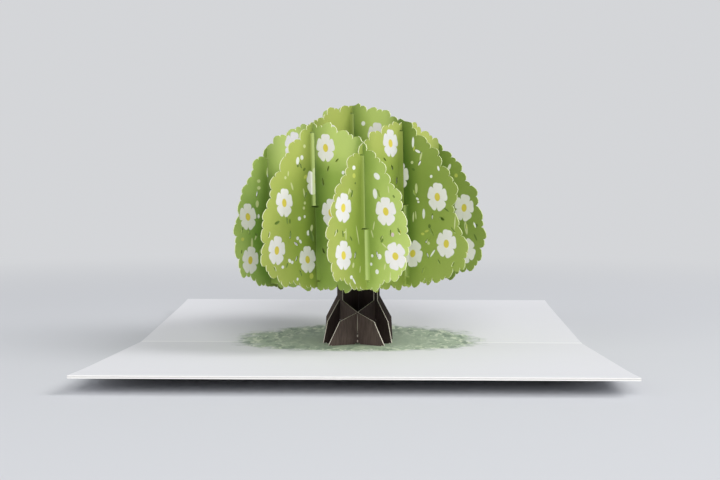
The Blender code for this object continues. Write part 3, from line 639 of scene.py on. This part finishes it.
def trunkMaterial(name):
    # Dark brown print with a faint upright grain, painted shade on the parts under the crown, and pale cut
    # edges
    side = -1 if name in ("trunk_front_left", "trunk_rear_right") else 1
    heading = trunk["yaw"] + side * trunk["halfAngle"]
    sheetFrame = upright(trunk["centre"], heading, Matrix.Identity(4))
    material, tree, shader, place, normal, tone = paperMaterial(name + "_print", "trunk", sheetFrame)
    grain = tree.nodes.new("ShaderNodeMapping")
    tree.links.new(place, grain.inputs["Vector"])
    grain.inputs["Scale"].default_value = barkLook["grain"]
    streak = noise(tree, grain.outputs[0], barkLook["scale"], 4.0, 0.6)
    light = ramp(tree, streak, 0.0, 1.0, *barkLook["spread"])
    colour = mottled(tree, blendColours(tree, light, barkInks["dark"], barkInks["face"]), tone, "trunk")
    # Painted shade: the parts of these sheets that lie in shadow under the crown and behind the front tails
    # are made darker
    if name in barkShadeFrom:
        x, _, _ = split(tree, place)
        deep = ramp(tree, x, 0.0, 1.0, barkShadeFrom[name] - barkLook["deepBlend"],
                    barkShadeFrom[name] + barkLook["deepBlend"])
        colour = blendColours(tree, deep, colour, barkInks["deep"], "MULTIPLY")
    if name in barkCrossing:
        # White paper shows in a fine line and two dots at the front crossing
        for height, length, width in barkGaps:
            mark = useGroup(tree, groups["mark"], Place=place, X=barkCrossing[name], Y=height, Length=length,
                            Width=width, Cos=0.0, Sin=1.0)["Mark"]
            shown = maths(tree, "MULTIPLY", mark, barkLook["gapShow"])
            colour = blendColours(tree, shown, colour, barkInks["edge"])
    faceNormal = sheetFrame.to_3x3() @ Vector((0, 0, 1))
    colour = blendColours(tree, cutEdge(tree, normal, faceNormal), colour, barkInks["edge"])
    tree.links.new(colour, shader.inputs["Base Color"])
    return material


cardInks = {
    "face": (0.83, 0.83, 0.85, 1),
    "edge": (0.90, 0.89, 0.86, 1),
    # The crease ink is a painted highlight along the fold
    "crease": (0.99, 0.99, 0.99, 1),
    "grassDeep": (0.15, 0.24, 0.13, 1),
    "grassMid": (0.33, 0.44, 0.27, 1),
    "grassPale": (0.66, 0.73, 0.53, 1),
}
# Green ground round the trunk: place and half sizes in millimetres, scales of noise, and shares of its reach
grass = {
    "x": -1.0,
    "y": 4.5,
    "halfWidth": 50.0,
    "halfDepth": 44.0,
    "raggedScale": 0.12,
    "ragged": 0.5,
    "rim": (1.08, 1.32),
    "strength": 0.85,
    "blades": (1.25, 0.5, 1.0),
    "leafScale": 0.34,
    "leaf": (0.50, 0.60),
    "blotScale": 0.27,
    "blot": (0.40, 0.47),
    "outer": (0.35, 0.85),
    "outerLow": 0.12,
}
# The crease's painted highlight, a pale line along the fold: millimetres from the fold between which it
# fades, and its strength
creaseHighlight = {"fade": (0.6, 1.4), "strength": 0.95}


def cardMaterial(name, printed):
    # White card with a fine tooth; the liner also has the soft green ground round the trunk
    material, tree, shader, place, normal, tone = paperMaterial(name + "_paper", "card", Matrix.Identity(4))
    colour = mottled(tree, cardInks["face"], tone, "card")
    if printed:
        x, y, _ = split(tree, place)
        dx = maths(tree, "DIVIDE", maths(tree, "SUBTRACT", x, grass["x"]), grass["halfWidth"])
        dy = maths(tree, "DIVIDE", maths(tree, "SUBTRACT", y, grass["y"]), grass["halfDepth"])
        reach = maths(tree, "SQRT", maths(tree, "ADD", maths(tree, "MULTIPLY", dx, dx),
                                          maths(tree, "MULTIPLY", dy, dy)))
        fray = noise(tree, place, grass["raggedScale"], 4.0, 0.65)
        wash = ramp(tree, maths(tree, "MULTIPLY_ADD", fray, grass["ragged"], reach), 1.0, 0.0, *grass["rim"])
        # Blades are drawn out from front to rear, and stand out mostly near the rim of the green ground
        blades = tree.nodes.new("ShaderNodeMapping")
        tree.links.new(place, blades.inputs["Vector"])
        blades.inputs["Scale"].default_value = grass["blades"]
        leaf = noise(tree, blades.outputs[0], grass["leafScale"], 3.0, 0.6)
        blot = noise(tree, blades.outputs[0], grass["blotScale"], 2.0, 0.55)
        outer = ramp(tree, reach, grass["outerLow"], 1.0, *grass["outer"])
        spotted = maths(tree, "MULTIPLY", ramp(tree, leaf, 0.0, 1.0, *grass["leaf"]), outer)
        ground = blendColours(tree, spotted, cardInks["grassMid"], cardInks["grassPale"])
        blots = maths(tree, "MULTIPLY", ramp(tree, blot, 1.0, 0.0, *grass["blot"]), outer)
        ground = blendColours(tree, blots, ground, cardInks["grassDeep"])
        colour = blendColours(tree, maths(tree, "MULTIPLY", wash, grass["strength"]), colour, ground)
        # Painted highlight: a pale line along the fold, outside the green ground
        nearFold = ramp(tree, maths(tree, "ABSOLUTE", y), 1.0, 0.0, *creaseHighlight["fade"])
        crease = maths(tree, "SUBTRACT", nearFold, wash, clamp=True)
        colour = blendColours(tree, maths(tree, "MULTIPLY", crease, creaseHighlight["strength"]), colour,
                              cardInks["crease"])
    colour = blendColours(tree, cutEdge(tree, normal, (0, 0, 1)), colour, cardInks["edge"])
    tree.links.new(colour, shader.inputs["Base Color"])
    return material


def dress(name, material):
    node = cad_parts[name]
    node.data.materials.clear()
    node.data.materials.append(material)


for name in flowers:
    dress(name, crownMaterial(name))
for name in ("trunk_front_left", "trunk_front_right", "trunk_rear_left", "trunk_rear_right"):
    dress(name, trunkMaterial(name))
dress("card_cover", cardMaterial("card_cover", False))
dress("card_liner", cardMaterial("card_liner", True))
print("nodes dressed:", len(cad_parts))

glue = {"band": 6 * mm, "inset": 0.06 * mm, "clear": 0.004 * mm, "colour": (0.68, 0.67, 0.64, 1)}


def leafHeight(distance):
    # Straight rise from the flat of the fold, and a quadratic curl near the outer edge
    rise = np.maximum(0, distance - card["foldFlat"] / 2) * math.tan(card["rise"])
    curl = np.maximum(0, distance - (card["leaf"] - card["curlLength"])) / card["curlLength"]
    return rise + card["curlHeight"] * curl ** 2


def closedSheet(name, xs, ys, low, high):
    # A sheet as two grids of the leaf's height function, joined round their rim
    gridX, gridY = np.meshgrid(xs, ys)
    height = leafHeight(np.abs(gridY))
    under = np.stack([gridX, gridY, height + low], -1).reshape(-1, 3)
    over = np.stack([gridX, gridY, height + high], -1).reshape(-1, 3)
    columns, rows = len(xs), len(ys)
    index = np.arange(columns * rows).reshape(rows, columns)
    corners = [index[:-1, :-1], index[:-1, 1:], index[1:, 1:], index[1:, :-1]]
    top = np.stack([corner.ravel() for corner in corners], -1) + columns * rows
    bottom = np.stack([corner.ravel() for corner in reversed(corners)], -1)
    rim = np.concatenate([index[0, :], index[1:, -1], index[-1, -2::-1], index[-2:0:-1, 0]])
    after = np.roll(rim, -1)
    side = np.stack([rim, after, after + columns * rows, rim + columns * rows], -1)
    mesh = bpy.data.meshes.new(name)
    mesh.from_pydata(np.concatenate([under, over]).tolist(), [],
                     np.concatenate([top, bottom, side]).tolist())
    piece = bpy.data.objects.new(name, mesh)
    bpy.context.scene.collection.objects.link(piece)
    return piece


def glueBands():
    # Bands of glue between cover and liner along the card's rim, which close the gap there
    material, tree, shader, _, _, tone = paperMaterial("glue", "glue", Matrix.Identity(4))
    tree.links.new(mottled(tree, glue["colour"], tone, "glue"), shader.inputs["Base Color"])
    low = card["coverThickness"] + glue["clear"]
    high = card["coverThickness"] + card["gap"] - glue["clear"]
    edgeX = card["width"] / 2 - glue["inset"]
    edgeY = card["leaf"] - glue["inset"]
    bend = np.array([0, card["foldFlat"] / 2, card["leaf"] - card["curlLength"],
                     card["leaf"] - card["curlLength"] / 2, edgeY])
    sideY = np.concatenate([-bend[:0:-1], bend])
    innerX = edgeX - glue["band"]
    spans = {"left": ([-edgeX, -innerX], sideY), "right": ([innerX, edgeX], sideY),
             "front": ([-innerX, innerX], [-edgeY, glue["band"] - edgeY]),
             "rear": ([-innerX, innerX], [edgeY - glue["band"], edgeY])}
    for side, (xs, ys) in spans.items():
        band = closedSheet("glue_" + side, np.array(xs), np.array(ys), low, high)
        band.data.materials.append(material)
        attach(band, "root")


glueBands()
print("glue bands made")


def makeStage():
    bpy.ops.mesh.primitive_plane_add(size=floorLook["size"])
    floor = bpy.context.object
    floor.name = "floor"
    material, tree, shader = newMaterial("floor_paint", floorLook["roughness"], floorLook["specular"])
    shader.inputs["Base Color"].default_value = backColour
    # Far off the floor passes into the backdrop
    source = tree.nodes.new("ShaderNodeTexCoord")
    span = tree.nodes.new("ShaderNodeVectorMath")
    span.operation = "LENGTH"
    tree.links.new(source.outputs["Object"], span.inputs[0])
    far = tree.nodes.new("ShaderNodeEmission")
    far.inputs["Color"].default_value = backColour
    fade = tree.nodes.new("ShaderNodeMixShader")
    feed(tree, fade.inputs["Fac"], ramp(tree, span.outputs["Value"], 0.0, 1.0, floorLook["fadeFrom"],
                                        floorLook["fadeTo"]))
    tree.links.new(shader.outputs[0], fade.inputs[1])
    tree.links.new(far.outputs[0], fade.inputs[2])
    tree.links.new(fade.outputs[0], tree.nodes["Material Output"].inputs["Surface"])
    floor.data.materials.append(material)


def makeLight():
    # Three soft boxes and a pale sky; the camera sees a plain pale backdrop
    for name, lamp in lamps.items():
        light = bpy.data.lights.new(name, "AREA")
        light.energy = lamp["power"]
        light.size = lamp["size"]
        holder = bpy.data.objects.new(name, light)
        bpy.context.scene.collection.objects.link(holder)
        holder.location = lamp["place"]
        aim = Vector(lampAim) - Vector(lamp["place"])
        holder.rotation_euler = aim.to_track_quat("-Z", "Y").to_euler()
    world = bpy.data.worlds.new("studio")
    bpy.context.scene.world = world
    world.use_nodes = True
    tree = world.node_tree
    back = tree.nodes["Background"]
    back.inputs["Color"].default_value = skyColour
    back.inputs["Strength"].default_value = skyStrength
    seen = tree.nodes.new("ShaderNodeBackground")
    seen.inputs["Color"].default_value = backColour
    rays = tree.nodes.new("ShaderNodeLightPath")
    mix = tree.nodes.new("ShaderNodeMixShader")
    tree.links.new(rays.outputs["Is Camera Ray"], mix.inputs["Fac"])
    tree.links.new(back.outputs[0], mix.inputs[1])
    tree.links.new(seen.outputs[0], mix.inputs[2])
    tree.links.new(mix.outputs[0], tree.nodes["World Output"].inputs["Surface"])


def makeCamera():
    lens = bpy.data.cameras.new("photo_view")
    lens.sensor_width = view["sensorWidth"]
    lens.lens = view["focalPixels"] / view["pictureWidth"] * view["sensorWidth"]
    camera = bpy.data.objects.new("photo_view", lens)
    bpy.context.scene.collection.objects.link(camera)
    camera.location = view["place"]
    turn = Matrix.Rotation(view["turnLeft"], 4, "Z")
    pitch = Matrix.Rotation(math.pi / 2 - view["pitchDown"], 4, "X")
    camera.rotation_euler = (turn @ pitch @ Matrix.Rotation(view["roll"], 4, "Z")).to_euler()
    bpy.context.scene.camera = camera


makeStage()
makeLight()
makeCamera()
bpy.context.scene.view_settings.view_transform = "Standard"
print("stage, light and camera made")
